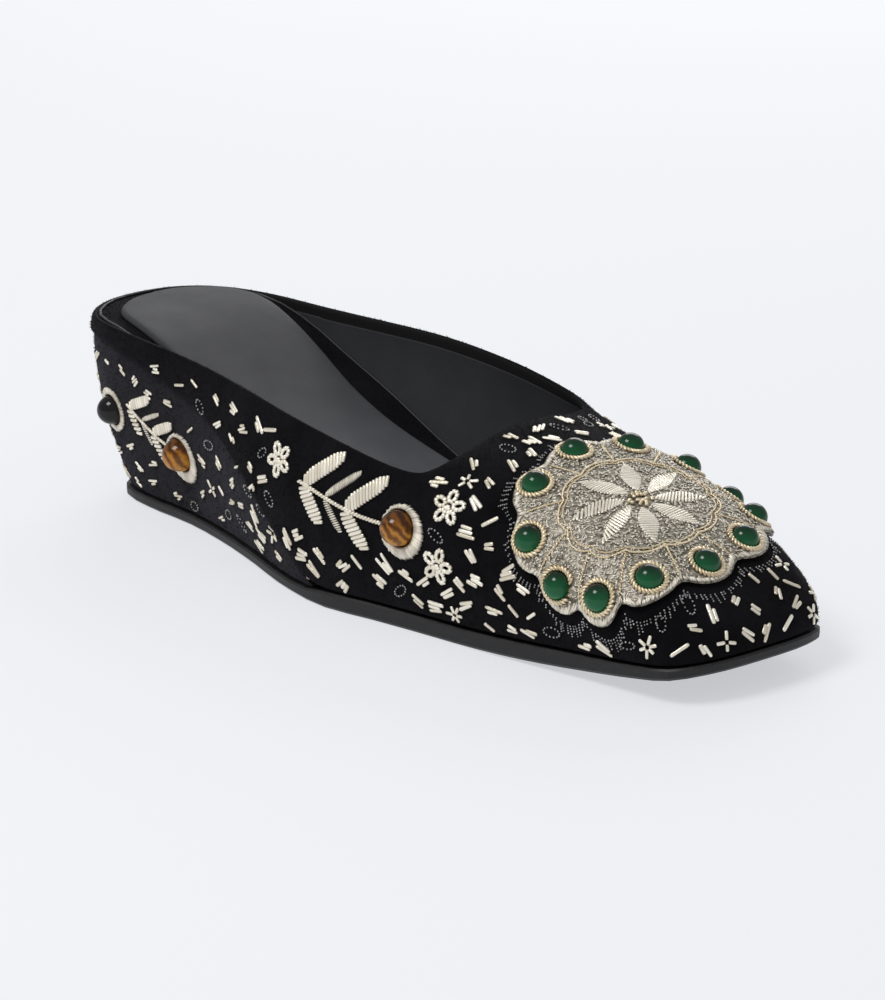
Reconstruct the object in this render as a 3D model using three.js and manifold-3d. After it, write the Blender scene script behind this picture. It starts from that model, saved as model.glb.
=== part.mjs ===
import * as THREE from 'three';
import { mergeVertices } from 'three/examples/jsm/utils/BufferGeometryUtils.js';
import Module from 'manifold-3d';

// Wedge mule for the right foot. Millimetres, toe along +X, inner side along +Y, floor at Z = 0.

// Driving sizes
const LENGTH = 252;
const BALL_WIDTH = 80;
const INSTEP = 48;
const HEEL_HEIGHT = 50;
const WALL = 2.0;
const GAP = 0.3;
const PATCH_GAP = 0.55;
const BED_GAP = 0.45;
const OUTSOLE_BACK = 3.0;
const OUTSOLE_FORE = 4.6;
const OUTSOLE_TOE = 3.0;
const TOE_SPRING = 8.2;
const BOARD = 2.6;
const SOCK = 1.9;
const SOCK_ROUND = 0.6;
const WEDGE_STEP = 1.1;
const MEDALLION = 0.9;

// The outsole: where it changes along the shoe, as parts of LENGTH, and how its edge is finished.
const ARCH_START = 0.465;
const ARCH_END = 0.525;
const SPRING_START = 0.67;
const THIN_START = 0.78;
const SOLE_PROUD = 0.2;
const SOLE_ROUND = 0.8;
const SOLE_CHAMFER = 0.5;

// The rolled topline: places across the wall, and how far they rise as a part of WALL.
const RIM_PLACES = [0.3, 0.7];
const RIM_RISE = 0.34;
const RIM_BELOW = 0.96;

// Where the wedge ends along the shoe at its outside and at its core, as parts of LENGTH.
const HEEL_BACK = -0.1;
const WEDGE_OUTSIDE_END = 0.49;
const WEDGE_CORE_END = 0.6;
// Where the footbed comes to lie on the outsole in front of the wedge.
const FOREFOOT_START = 0.68;

// Mesh density
const AROUND = 84;
const UP = 10;
const BODY_RINGS = 10;
const BOARD_ACROSS = 4;
const SLAB_STEP = 0.01;
const STONE_SIDES = 12;

// The ribs of the upper, from the middle of the heel round the outer side to the toe and back.
// foot_x, top_x, lean_x are percent of LENGTH from the back of the heel rim.
// foot_y, top_y, lean_y are percent of BALL_WIDTH, plus is the inner side.
// swell is percent of BALL_WIDTH, how far the wall bulges out above the sole edge.
// low, high are percent of INSTEP, the heights of the two bends; top_z is percent of HEEL_HEIGHT.
const RIB_COLUMNS = [
  'foot_x', 'foot_y', 'swell', 'low', 'lean_x', 'lean_y', 'high', 'top_x', 'top_y', 'top_z',
];
const RIBS = [
  [4, 1.5, 7.4, 38, -1.6, 2.5, 88, -0.5, 2.5, 103],
  [4.6, -11.4, 7.6, 38, -0.8, -15, 88, 0.5, -14, 103],
  [7.5, -21.6, 7.6, 38.2, 3.2, -29.5, 88, 4.3, -28, 103],
  [13, -25.2, 6.2, 38.5, 10.6, -35.2, 86.4, 10.9, -33.4, 103],
  [20, -26.5, 5.5, 38.9, 18.5, -37.3, 83.8, 18.5, -35.4, 102.2],
  [27.5, -31, 6, 38.4, 27, -39.5, 79.4, 27, -36.5, 99.9],
  [35, -37.5, 7, 37.8, 35.5, -47, 73.9, 36, -40, 97],
  [42.5, -45, 5.5, 35.3, 43, -51, 68.3, 43, -42.5, 93.6],
  [50.5, -49.5, 4, 34.8, 50.5, -52.5, 65.8, 50.5, -44, 89.9],
  [58, -46, 6, 35.2, 58, -52, 66.2, 58.2, -44.3, 85.9],
  [65, -43, 8, 37.7, 64, -51.5, 69.6, 62.9, -42, 84.8],
  [72, -40.6, 9.4, 42.1, 68.8, -47.5, 78.9, 64.2, -36.5, 87.9],
  [79, -38, 9, 44.1, 72.8, -45, 84.1, 64.5, -30, 91.1],
  [85.5, -35.5, 8, 43.4, 76.5, -41, 88.4, 64.6, -23, 93.9],
  [91.5, -34, 6.4, 41, 79.5, -34, 91.6, 64.7, -16.5, 97.5],
  [96.6, -31.5, 4, 37.4, 81.5, -24, 95.7, 64.9, -10, 100.1],
  [99, -18, 2, 35.5, 82, -12, 99.7, 65, -5, 101.5],
  [99.6, 0, 1.4, 35.3, 82, 0, 101.7, 65, 0, 102.1],
  [99.4, 19, 3, 35.4, 82, 12, 99.7, 65, 5, 102.1],
  [97.4, 32.5, 5.8, 37.2, 81.5, 24, 96.7, 64.8, 10, 101.5],
  [92, 34.8, 7.4, 40.9, 79.5, 34, 92.6, 64.4, 16.5, 100.1],
  [85.5, 36, 8.2, 43.4, 76.3, 41, 90.4, 63.8, 23, 97.5],
  [79, 38.8, 9, 44.1, 72.2, 45.5, 87.1, 63.2, 29.5, 96.2],
  [72, 42, 8.5, 43.1, 67.5, 48.5, 81.8, 62.2, 36, 95.4],
  [65, 43, 8, 40.7, 62.2, 49.5, 75.5, 60, 40.3, 96.2],
  [58, 40.5, 8, 39.2, 57, 48.8, 74.2, 56, 41.8, 99],
  [50.5, 33.4, 8.4, 38.8, 50.5, 47, 76.8, 50.2, 42.3, 102.7],
  [42.5, 27.4, 8.6, 38.3, 42.5, 44.8, 77.3, 42.7, 42.3, 105.2],
  [35, 25, 8, 37.8, 35.2, 42.6, 77.9, 36, 41.5, 106],
  [27.5, 25.4, 6.4, 38.4, 27.5, 41, 79.4, 28, 40.2, 105],
  [20, 26.4, 5.5, 38.9, 18.8, 40, 83.9, 19.4, 38.8, 103.9],
  [13, 25.4, 6.2, 38.5, 10.8, 38.8, 86.4, 11.2, 37.4, 103.4],
  [7.5, 21.6, 7.6, 38.2, 3.2, 33, 88, 4.3, 31.5, 103],
  [4.6, 13.4, 7.6, 38, -0.8, 19.3, 88, 0.5, 18.3, 103],
];

// The seam between wedge and upper, percent of LENGTH and percent of HEEL_HEIGHT.
const SEAM = [
  [-8, 95], [3, 95], [10, 93.3], [15.5, 89.1], [20.5, 82.9], [25.5, 76.2], [30.5, 67.5], [34, 59.2],
  [38, 46.9], [41.5, 35.1], [45, 22.4], [48, 11.5], [50, 6.5], [54, 3],
];
// The top of the footbed, percent of LENGTH and percent of HEEL_HEIGHT.
const BED = [
  [-8, 103], [6, 103.1], [12, 101.4], [18, 93.8], [24, 82.1], [32, 67.6], [40, 51.1], [48, 35.5], [56, 25],
  [64, 21.1], [72, 20.9], [80, 22.4], [90, 27], [102, 33.7],
];
// The velvet border between the wall and the sock, percent of LENGTH and millimetres.
// On the inner side it is wider at the waist, where the sock is cut in.
const OUTER_BORDER = [[-8, 7], [3, 6], [9, 4], [40, 3.6], [104, 3.6]];
const INNER_BORDER = [
  [-8, 7], [3, 5.4], [8, 3], [12, 3], [17, 5], [24, 7.2], [29, 9.8], [33, 10.4], [37, 9.4],
  [41, 6.8], [45, 4.4], [50, 3.6], [104, 3.6],
];

// The medallion on the vamp: where its middle lies, along and towards the inner side, and its reach.
const MEDALLION_MIDDLE = 0.836;
const MEDALLION_SIDE = -0.055;
const MEDALLION_LONG = 0.114;
const MEDALLION_WIDE = 0.51;
const LOBES = 12;
const LOBE_DEPTH = 0.11;
const POINTS_PER_LOBE = 6;
const BACK_RADII = [0.1, 0.26, 0.42, 0.58, 0.74, 0.88, 1];
const FACE_RADII = [0.97, 0.86, 0.7, 0.52, 0.34, 0.1];
const EDGE_PART = 0.55;
const STONE_RING = 0.84;
const GREEN_RADIUS = 3.6;
const GREEN_HEIGHT = 3.6;

// The large stones on the sides: rib number counted round the shoe, place up the rib, radius, height.
// The ones on the wedge sit deeper by its step.
const STONE_COLUMNS = ['rib', 'rise', 'radius', 'height', 'depth'];
const BROWN_STONES = [
  [9.79, 0.615, 4.7, 5.6, 0],
  [24.48, 0.535, 4.7, 5.6, 0],
  [4.17, 0.355, 4.8, 5.2, WEDGE_STEP],
  [30.73, 0.355, 4.8, 5.2, WEDGE_STEP],
];
const DARK_STONE = [2.42, 0.445, 4.2, 4.5, WEDGE_STEP];
// The side of a domed stone: parts of its radius and of its height.
const STONE_PROFILE = [[0.94, 0], [1, 0.16], [0.88, 0.55], [0.5, 0.92]];

const wasm = await Module();
wasm.setup();

// Read a two-column table at a place along the shoe, with a smooth curve through its rows.
function along(table, x, size) {
  const place = (100 * x) / LENGTH;
  let i = 0;
  while (i < table.length - 2 && place > table[i + 1][0]) i += 1;
  const before = table[Math.max(i - 1, 0)];
  const from = table[i];
  const to = table[i + 1];
  const after = table[Math.min(i + 2, table.length - 1)];
  const span = to[0] - from[0];
  const u = THREE.MathUtils.clamp((place - from[0]) / span, 0, 1);
  const slopeFrom = (to[1] - before[1]) / Math.max(to[0] - before[0], 1e-6);
  const slopeTo = (after[1] - from[1]) / Math.max(after[0] - from[0], 1e-6);
  const u2 = u * u;
  const u3 = u2 * u;
  const value = from[1] * (2 * u3 - 3 * u2 + 1) + to[1] * (3 * u2 - 2 * u3)
    + span * slopeFrom * (u3 - 2 * u2 + u) + span * slopeTo * (u3 - u2);
  return value * size;
}

const seamHeight = (x) => along(SEAM, x, HEEL_HEIGHT / 100);
const bedHeight = (x) => along(BED, x, HEEL_HEIGHT / 100);
const borderWidth = (x, inner) => along(inner ? INNER_BORDER : OUTER_BORDER, x, 1);

function treadHeight(x) {
  const u = Math.max(0, x / LENGTH - SPRING_START) / (1 - SPRING_START);
  return TOE_SPRING * u * u;
}

function outsoleTop(x) {
  const step = THREE.MathUtils.smoothstep(x / LENGTH, ARCH_START, ARCH_END);
  const thin = THREE.MathUtils.smoothstep(x / LENGTH, THIN_START, 1);
  const back = OUTSOLE_BACK + (OUTSOLE_FORE - OUTSOLE_BACK) * step;
  return treadHeight(x) + back + (OUTSOLE_TOE - OUTSOLE_FORE) * thin;
}

// One column of the rib table read between rows, closed round the shoe.
function ribValue(column, rib) {
  const count = RIBS.length;
  const c = RIB_COLUMNS.indexOf(column);
  const base = Math.floor(rib);
  const u = rib - base;
  const row = (k) => RIBS[(((base + k) % count) + count) % count][c];
  const a = row(-1);
  const b = row(0);
  const d = row(1);
  const e = row(2);
  return b + 0.5 * u * (d - a + u * (2 * a - 5 * b + 4 * d - e + u * (3 * (b - d) + e - a)));
}

function footPoint(rib) {
  const x = ribValue('foot_x', rib) * LENGTH / 100;
  const y = ribValue('foot_y', rib) * BALL_WIDTH / 100;
  return new THREE.Vector3(x, y, outsoleTop(x) + GAP);
}

function footOutward(rib) {
  const back = footPoint(rib - 0.05);
  const front = footPoint(rib + 0.05);
  const dx = front.x - back.x;
  const dy = front.y - back.y;
  const size = Math.hypot(dx, dy);
  return new THREE.Vector3(dy / size, -dx / size, 0);
}

// A point on the outside of the shoe: rib round the shoe, rise 0 at the sole to 1 at the topline.
function skin(rib, rise) {
  const foot = footPoint(rib);
  const swell = ribValue('swell', rib) * BALL_WIDTH / 100;
  const low = foot.clone().addScaledVector(footOutward(rib), swell);
  low.z = treadHeight(foot.x) + ribValue('low', rib) * INSTEP / 100;
  const high = new THREE.Vector3(
    ribValue('lean_x', rib) * LENGTH / 100,
    ribValue('lean_y', rib) * BALL_WIDTH / 100,
    ribValue('high', rib) * INSTEP / 100,
  );
  const top = new THREE.Vector3(
    ribValue('top_x', rib) * LENGTH / 100,
    ribValue('top_y', rib) * BALL_WIDTH / 100,
    ribValue('top_z', rib) * HEEL_HEIGHT / 100,
  );
  const v = 1 - rise;
  return foot.multiplyScalar(v * v * v)
    .addScaledVector(low, 3 * v * v * rise)
    .addScaledVector(high, 3 * v * rise * rise)
    .addScaledVector(top, rise * rise * rise);
}

function skinNormal(rib, rise) {
  const step = 0.02;
  const down = skin(rib, Math.max(rise - step, 0));
  const up = skin(rib, Math.min(rise + step, 1));
  const back = skin(rib - 0.1, rise);
  const front = skin(rib + 0.1, rise);
  return front.sub(back).cross(up.sub(down)).normalize();
}

function skinInset(rib, rise, depth) {
  return skin(rib, rise).addScaledVector(skinNormal(rib, rise), -depth);
}

// The rise at which a rib, taken at a depth below the skin, crosses a height given along the shoe.
function riseAt(rib, depth, height) {
  let low = 0;
  let high = 1;
  for (let k = 0; k < 26; k += 1) {
    const middle = (low + high) / 2;
    const point = skinInset(rib, middle, depth);
    if (point.z < height(point.x)) low = middle;
    else high = middle;
  }
  return (low + high) / 2;
}

function ribNumber(i) {
  return (i * RIBS.length) / AROUND;
}

// Close a stack of rings, each a loop of points, with its first and last ring joined or capped.
function fromRings(rings, closed) {
  const count = rings[0].length;
  const position = [];
  const index = [];
  for (const ring of rings) {
    for (const point of ring) position.push(point.x, point.y, point.z);
  }
  const last = closed ? rings.length : rings.length - 1;
  for (let r = 0; r < last; r += 1) {
    const lower = r * count;
    const upper = ((r + 1) % rings.length) * count;
    for (let i = 0; i < count; i += 1) {
      const j = (i + 1) % count;
      index.push(lower + i, lower + j, upper + j);
      index.push(lower + i, upper + j, upper + i);
    }
  }
  if (!closed) {
    ladder(index, 0, count, false);
    ladder(index, (rings.length - 1) * count, count, true);
  }
  return asGeometry(position, index);
}

// Fill a ring by rungs from its outer half to its inner half.
function ladder(index, start, count, facingUp) {
  const half = count / 2;
  const add = (a, b, c) => (facingUp ? index.push(a, b, c) : index.push(a, c, b));
  for (let i = 0; i < half; i += 1) {
    const a = start + i;
    const b = start + i + 1;
    const c = start + ((count - i - 1) % count);
    const d = start + ((count - i) % count);
    if (i > 0) add(a, c, d);
    if (i < half - 1) add(a, b, c);
  }
}

function asGeometry(position, index) {
  const geometry = new THREE.BufferGeometry();
  geometry.setAttribute('position', new THREE.Float32BufferAttribute(position, 3));
  geometry.setIndex(index);
  return geometry;
}

function toManifold(geometry) {
  const bare = geometry.clone();
  bare.deleteAttribute('normal');
  bare.deleteAttribute('uv');
  const merged = mergeVertices(bare, 1e-4);
  const mesh = new wasm.Mesh({
    numProp: 3,
    vertProperties: new Float32Array(merged.attributes.position.array),
    triVerts: new Uint32Array(merged.index.array),
  });
  return new wasm.Manifold(mesh);
}

function fromManifold(solid) {
  const mesh = solid.getMesh();
  return asGeometry(Array.from(mesh.vertProperties), Array.from(mesh.triVerts));
}

function loop(makePoint) {
  const ring = [];
  for (let i = 0; i < AROUND; i += 1) ring.push(makePoint(ribNumber(i), i));
  return ring;
}

// Outsole: one plate with the toe turned up, thicker under the ball and thinner at the tip.
function makeOutsole() {
  const edge = loop((rib) => footPoint(rib).addScaledVector(footOutward(rib), SOLE_PROUD));
  const level = (height, inset) => loop((rib, i) => {
    const point = edge[i].clone().addScaledVector(footOutward(rib), -inset);
    point.z = height(edge[i].x);
    return point;
  });
  return fromRings([
    level((x) => treadHeight(x), SOLE_ROUND),
    level((x) => treadHeight(x) + SOLE_ROUND, 0),
    level((x) => outsoleTop(x) - SOLE_CHAMFER, 0),
    level((x) => outsoleTop(x), SOLE_CHAMFER),
  ], false);
}

// A body filled from the sole up, its side taken at a depth below the skin.
function filledBody(depth) {
  const rings = [];
  for (let k = 0; k <= BODY_RINGS; k += 1) {
    rings.push(loop((rib) => skinInset(rib, k / BODY_RINGS, depth)));
  }
  return fromRings(rings, false);
}

// Everything between two heights given along the shoe, from the heel to an end, as one slab across it.
function slabBetween(bottom, top, end) {
  const position = [];
  const index = [];
  const steps = Math.round((end - HEEL_BACK) / SLAB_STEP);
  const thinnest = 0.02;
  for (let i = 0; i <= steps; i += 1) {
    const x = (HEEL_BACK + SLAB_STEP * i) * LENGTH;
    for (const y of [-BALL_WIDTH, BALL_WIDTH]) {
      position.push(x, y, bottom(x), x, y, Math.max(top(x), bottom(x) + thinnest));
    }
  }
  const quad = (a, b, c, d) => index.push(a, b, c, a, c, d);
  for (let i = 0; i < steps; i += 1) {
    const p = i * 4;
    const q = p + 4;
    quad(p, p + 2, q + 2, q);
    quad(p + 1, q + 1, q + 3, p + 3);
    quad(p, q, q + 1, p + 1);
    quad(p + 2, p + 3, q + 3, q + 2);
  }
  const last = steps * 4;
  quad(0, 1, 3, 2);
  quad(last, last + 2, last + 3, last + 1);
  return asGeometry(position, index);
}

// Wedge: the block under the heel, stepped in above the seam so the upper sits round it.
function makeWedge() {
  const floor = (x) => outsoleTop(x) + GAP;
  const seat = (x) => bedHeight(x) - BOARD - BED_GAP;
  const seamUnder = slabBetween(floor, (x) => seamHeight(x) - GAP, WEDGE_OUTSIDE_END);
  const bedUnder = slabBetween(floor, bedHeight, WEDGE_CORE_END);
  const bedSpace = slabBetween(seat, (x) => seat(x) + HEEL_HEIGHT, WEDGE_CORE_END + SLAB_STEP);
  const hollow = toManifold(filledBody(WALL)).intersect(toManifold(bedSpace));
  const outer = toManifold(filledBody(WEDGE_STEP)).intersect(toManifold(seamUnder));
  const inner = toManifold(filledBody(WALL + GAP)).intersect(toManifold(bedUnder));
  return fromManifold(outer.add(inner).subtract(hollow));
}

// Upper: one hollow wall, open at the topline and under the foot.
function makeUpper() {
  const hem = (x) => Math.max(seamHeight(x), outsoleTop(x) + GAP);
  const start = loop((rib) => riseAt(rib, 0, hem));
  const inside = loop((rib) => riseAt(rib, WALL, hem));
  const rings = [];
  for (let k = 0; k <= UP; k += 1) {
    rings.push(loop((rib, i) => skin(rib, start[i] + ((1 - start[i]) * k) / UP)));
  }
  for (const place of RIM_PLACES) {
    const lift = WALL * RIM_RISE * Math.sin(Math.PI * place);
    rings.push(loop((rib) => {
      const upward = skin(rib, 1).sub(skin(rib, RIM_BELOW)).normalize();
      return skinInset(rib, 1, WALL * place).addScaledVector(upward, lift);
    }));
  }
  for (let k = UP; k >= 0; k -= 1) {
    rings.push(loop((rib, i) => skinInset(rib, inside[i] + ((1 - inside[i]) * k) / UP, WALL)));
  }
  return fromRings(rings, true);
}

function bedRing(height, depth) {
  return loop((rib) => {
    const rise = riseAt(rib, depth, height);
    return skinInset(rib, rise, depth);
  });
}

// A board across the foot between an outline below and one above, with rungs divided across.
function boardBetween(lower, upper, lowerHeight, upperHeight) {
  const half = AROUND / 2;
  const position = [];
  const index = [];
  const grid = (ring, height) => {
    const rows = [];
    for (let i = 0; i <= half; i += 1) {
      const row = [];
      const a = ring[i];
      const b = ring[(AROUND - i) % AROUND];
      const parts = i === 0 || i === half ? 0 : BOARD_ACROSS;
      for (let k = 0; k <= parts; k += 1) {
        const point = parts ? a.clone().lerp(b, k / parts) : a.clone();
        point.z = height(point.x);
        row.push(position.length / 3);
        position.push(point.x, point.y, point.z);
      }
      rows.push(row);
    }
    return rows;
  };
  const bottom = grid(lower, lowerHeight);
  const top = grid(upper, upperHeight);
  const face = (rows, up) => {
    const add = (a, b, c) => (up ? index.push(a, b, c) : index.push(a, c, b));
    for (let i = 0; i < half; i += 1) {
      for (let k = 0; k < BOARD_ACROSS; k += 1) {
        const a = rows[i][Math.min(k, rows[i].length - 1)];
        const b = rows[i + 1][Math.min(k, rows[i + 1].length - 1)];
        const c = rows[i + 1][Math.min(k + 1, rows[i + 1].length - 1)];
        const d = rows[i][Math.min(k + 1, rows[i].length - 1)];
        if (b !== c) add(a, b, c);
        if (a !== d) add(a, c, d);
      }
    }
  };
  face(bottom, false);
  face(top, true);
  const rim = (rows) => {
    const list = [];
    for (let i = 0; i <= half; i += 1) list.push(rows[i][0]);
    for (let i = half - 1; i > 0; i -= 1) list.push(rows[i][rows[i].length - 1]);
    return list;
  };
  const low = rim(bottom);
  const high = rim(top);
  for (let i = 0; i < AROUND; i += 1) {
    const j = (i + 1) % AROUND;
    index.push(low[i], low[j], high[j], low[i], high[j], high[i]);
  }
  return asGeometry(position, index);
}

function ringInset(ring, width) {
  return ring.map((point, i) => {
    const back = ring[(i + AROUND - 1) % AROUND];
    const front = ring[(i + 1) % AROUND];
    const dx = front.x - back.x;
    const dy = front.y - back.y;
    const size = Math.hypot(dx, dy);
    const depth = width(point.x, i > AROUND / 2);
    return new THREE.Vector3(point.x - (dy / size) * depth, point.y + (dx / size) * depth, point.z);
  });
}

const bedOutline = () => bedRing(bedHeight, WALL + BED_GAP);

// Footbed: the velvet board that closes the inside, thicker where it lies on the outsole in front.
function makeFootbed() {
  const under = (x) => {
    const rest = THREE.MathUtils.smoothstep(x / LENGTH, WEDGE_CORE_END, FOREFOOT_START);
    const thin = Math.max(bedHeight(x) - BOARD, outsoleTop(x) + GAP);
    return THREE.MathUtils.lerp(thin, outsoleTop(x) + GAP, rest);
  };
  return boardBetween(bedRing(under, WALL + BED_GAP), bedOutline(), under, bedHeight);
}

// Sock: the padded leather pad that lies on the footbed.
function makeSock() {
  const edge = ringInset(bedOutline(), borderWidth);
  const shoulder = ringInset(edge, () => SOCK_ROUND);
  return boardBetween(edge, shoulder, (x) => bedHeight(x) + GAP, (x) => bedHeight(x) + GAP + SOCK);
}

// A point on the vamp by its place along the shoe and its distance over the vamp from the middle line.
function vampPoint(x, distance) {
  const toe = RIBS.length / 2;
  const step = distance < 0 ? -0.125 : 0.125;
  const cut = (rib) => {
    let low = 0;
    let high = 1;
    for (let k = 0; k < 24; k += 1) {
      const middle = (low + high) / 2;
      if (skin(rib, middle).x > x) low = middle;
      else high = middle;
    }
    return (low + high) / 2;
  };
  let rib = toe;
  let rise = cut(rib);
  let point = skin(rib, rise);
  let left = Math.abs(distance);
  while (left > 0) {
    const nextRib = rib + step;
    const nextRise = cut(nextRib);
    const next = skin(nextRib, nextRise);
    const length = next.distanceTo(point);
    if (length >= left) {
      const u = left / length;
      rib += step * u;
      rise += (nextRise - rise) * u;
      point = skin(rib, rise);
      break;
    }
    left -= length;
    rib = nextRib;
    rise = nextRise;
    point = next;
  }
  return { point, normal: skinNormal(rib, rise) };
}

function medallionPoint(angle, radius, height) {
  const scallop = Math.abs(Math.cos((angle * LOBES) / 2)) ** 0.7;
  const edge = 1 - LOBE_DEPTH * (1 - scallop * radius);
  const x = LENGTH * (MEDALLION_MIDDLE + MEDALLION_LONG * radius * edge * Math.cos(angle));
  const distance = BALL_WIDTH * (MEDALLION_SIDE + MEDALLION_WIDE * radius * edge * Math.sin(angle));
  const place = vampPoint(x, distance);
  return place.point.addScaledVector(place.normal, height);
}

// Medallion: a padded round patch with a lobed edge, laid over the vamp.
function makeMedallion() {
  const count = LOBES * POINTS_PER_LOBE;
  const ring = (radius, height) => {
    const points = [];
    for (let i = 0; i < count; i += 1) points.push(medallionPoint((2 * Math.PI * i) / count, radius, height));
    return points;
  };
  const rings = BACK_RADII.map((radius) => ring(radius, PATCH_GAP));
  rings.push(ring(1, PATCH_GAP + MEDALLION * EDGE_PART));
  for (const radius of FACE_RADII) rings.push(ring(radius, PATCH_GAP + MEDALLION));
  return fromRings(rings, false);
}

// A domed stone seated square to the surface.
function makeStone(seat, normal, radius, height) {
  const turn = new THREE.Quaternion().setFromUnitVectors(new THREE.Vector3(0, 0, 1), normal);
  const rings = STONE_PROFILE.map(([out, up]) => {
    const ring = [];
    for (let i = 0; i < STONE_SIDES; i += 1) {
      const angle = (2 * Math.PI * i) / STONE_SIDES;
      const point = new THREE.Vector3(
        radius * out * Math.cos(angle),
        radius * out * Math.sin(angle),
        height * up,
      );
      ring.push(point.applyQuaternion(turn).add(seat));
    }
    return ring;
  });
  return fromRings(rings, false);
}

function material(colour, roughness) {
  return new THREE.MeshStandardMaterial({ color: colour, roughness, metalness: 0 });
}

const velvet = material(0x17151a, 0.95);
const outsoleBlack = material(0x2c2c2e, 0.6);
const leather = material(0x4a4b4e, 0.45);
const thread = material(0xc9bda3, 0.6);
const greenStone = material(0x12643f, 0.12);
const brownStone = material(0x6b3c16, 0.12);
const darkStone = material(0x1a1b1f, 0.1);

const shoe = new THREE.Group();
shoe.name = 'wedge_mule';

function addPiece(name, geometry, look) {
  geometry.computeVertexNormals();
  const mesh = new THREE.Mesh(geometry, look);
  mesh.name = name;
  shoe.add(mesh);
}

addPiece('outsole', makeOutsole(), outsoleBlack);
addPiece('wedge', makeWedge(), velvet);
addPiece('upper', makeUpper(), velvet);
addPiece('footbed', makeFootbed(), velvet);
addPiece('sock', makeSock(), leather);
addPiece('medallion', makeMedallion(), thread);

for (let i = 0; i < LOBES; i += 1) {
  const angle = (2 * Math.PI * i) / LOBES;
  const seat = medallionPoint(angle, STONE_RING, PATCH_GAP + MEDALLION + GAP);
  const base = medallionPoint(angle, STONE_RING, 0);
  const normal = seat.clone().sub(base).normalize();
  addPiece(`green_stone_${i + 1}`, makeStone(seat, normal, GREEN_RADIUS, GREEN_HEIGHT), greenStone);
}

function addSideStone(name, row, look) {
  const stone = Object.fromEntries(STONE_COLUMNS.map((column, c) => [column, row[c]]));
  const normal = skinNormal(stone.rib, stone.rise);
  const seat = skin(stone.rib, stone.rise).addScaledVector(normal, GAP - stone.depth);
  addPiece(name, makeStone(seat, normal, stone.radius, stone.height), look);
}

BROWN_STONES.forEach((row, i) => addSideStone(`brown_stone_${i + 1}`, row, brownStone));
addSideStone('dark_stone', DARK_STONE, darkStone);

// Stand the shoe with the middle of its box over the origin.
const box = new THREE.Box3().setFromObject(shoe);
const middle = box.getCenter(new THREE.Vector3());
for (const mesh of shoe.children) mesh.geometry.translate(-middle.x, -middle.y, -box.min.z);

export default shoe;
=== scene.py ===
import math
import random

import bmesh
import bpy
import numpy as np
from mathutils import Matrix, Vector
from mathutils.bvhtree import BVHTree
from mathutils.kdtree import KDTree


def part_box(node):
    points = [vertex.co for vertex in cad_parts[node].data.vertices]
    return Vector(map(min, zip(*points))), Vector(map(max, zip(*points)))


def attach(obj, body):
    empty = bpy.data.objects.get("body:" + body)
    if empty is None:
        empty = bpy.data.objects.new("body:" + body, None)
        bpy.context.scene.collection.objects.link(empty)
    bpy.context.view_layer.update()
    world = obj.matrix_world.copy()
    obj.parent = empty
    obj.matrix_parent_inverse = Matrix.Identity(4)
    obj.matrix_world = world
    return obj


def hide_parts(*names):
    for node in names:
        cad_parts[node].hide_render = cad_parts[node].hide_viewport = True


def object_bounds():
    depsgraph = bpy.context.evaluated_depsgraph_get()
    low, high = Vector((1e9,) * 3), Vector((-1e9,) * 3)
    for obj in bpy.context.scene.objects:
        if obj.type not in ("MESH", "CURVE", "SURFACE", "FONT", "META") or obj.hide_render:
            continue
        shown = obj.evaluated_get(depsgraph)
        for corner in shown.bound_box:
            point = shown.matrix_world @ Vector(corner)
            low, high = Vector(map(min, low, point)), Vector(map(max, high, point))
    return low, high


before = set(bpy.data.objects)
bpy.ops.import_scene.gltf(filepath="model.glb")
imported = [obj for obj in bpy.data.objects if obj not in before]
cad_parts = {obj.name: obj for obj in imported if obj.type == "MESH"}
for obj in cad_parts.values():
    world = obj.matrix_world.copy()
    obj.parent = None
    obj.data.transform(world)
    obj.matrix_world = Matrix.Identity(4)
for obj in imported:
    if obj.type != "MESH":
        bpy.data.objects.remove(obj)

# A right-foot wedge mule in black velvet with metal-thread embroidery. Metres, toe along +X,
# inner side along +Y, floor at Z = 0.

CAD_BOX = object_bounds()
MM = 0.001
BODY = "root"
DRAW_SEED = 11
PILE_SEED = 5
draw = random.Random(DRAW_SEED)

# Camera: where it stands, what it looks at, and its lens for the width of the picture, in millimetres.
CAMERA_PLACE = Vector((0.9121, -0.8157, 0.4118))
CAMERA_TARGET = Vector((0.0005, 0.0065, 0.0190))
PICTURE_WIDTH = 36.0
CAMERA_LENS = 196.0

# Sizes of the thread work, in metres.
STITCH_WIDE = 1.25 * MM
STITCH_TALL = 0.75 * MM
FINE_WIDE = 0.52 * MM
FINE_TALL = 0.42 * MM
CORD_WIDE = 0.62 * MM
SEED_BEAD = 0.3 * MM

# How far the middle of a stitch or a bead stands out of the cloth, in shares of its height or radius.
STITCH_LIFT = 0.3
BEAD_LIFT = 0.6
# A twisted cord's turns: how far they lean, and half their length in shares of the step between them.
CORD_SLANT = 0.55
CORD_TURN = 0.95
# A coiled ring's turns, in shares of the ring's width.
COIL_PITCH = 0.66
COIL_HALF = 0.62
COIL_TALL = 0.9
# A padded satin ring's stitches, in shares of the fine thread's width and height, and how they vary.
SATIN_PITCH = 0.85
SATIN_TALL = 2.4
SATIN_UNEVEN = (0.96, 1.04)

# Rings round the stones: their widths, and how far a brown stone's ring lies to the front and lower.
COIL_WIDE = 1.5 * MM
COIL_MIDDLE = 0.75 * MM
BROWN_RING = 2.8 * MM
BROWN_RING_AHEAD = 1.3 * MM
BROWN_RING_LOWER = 0.8 * MM
DARK_RING = 2.4 * MM

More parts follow.
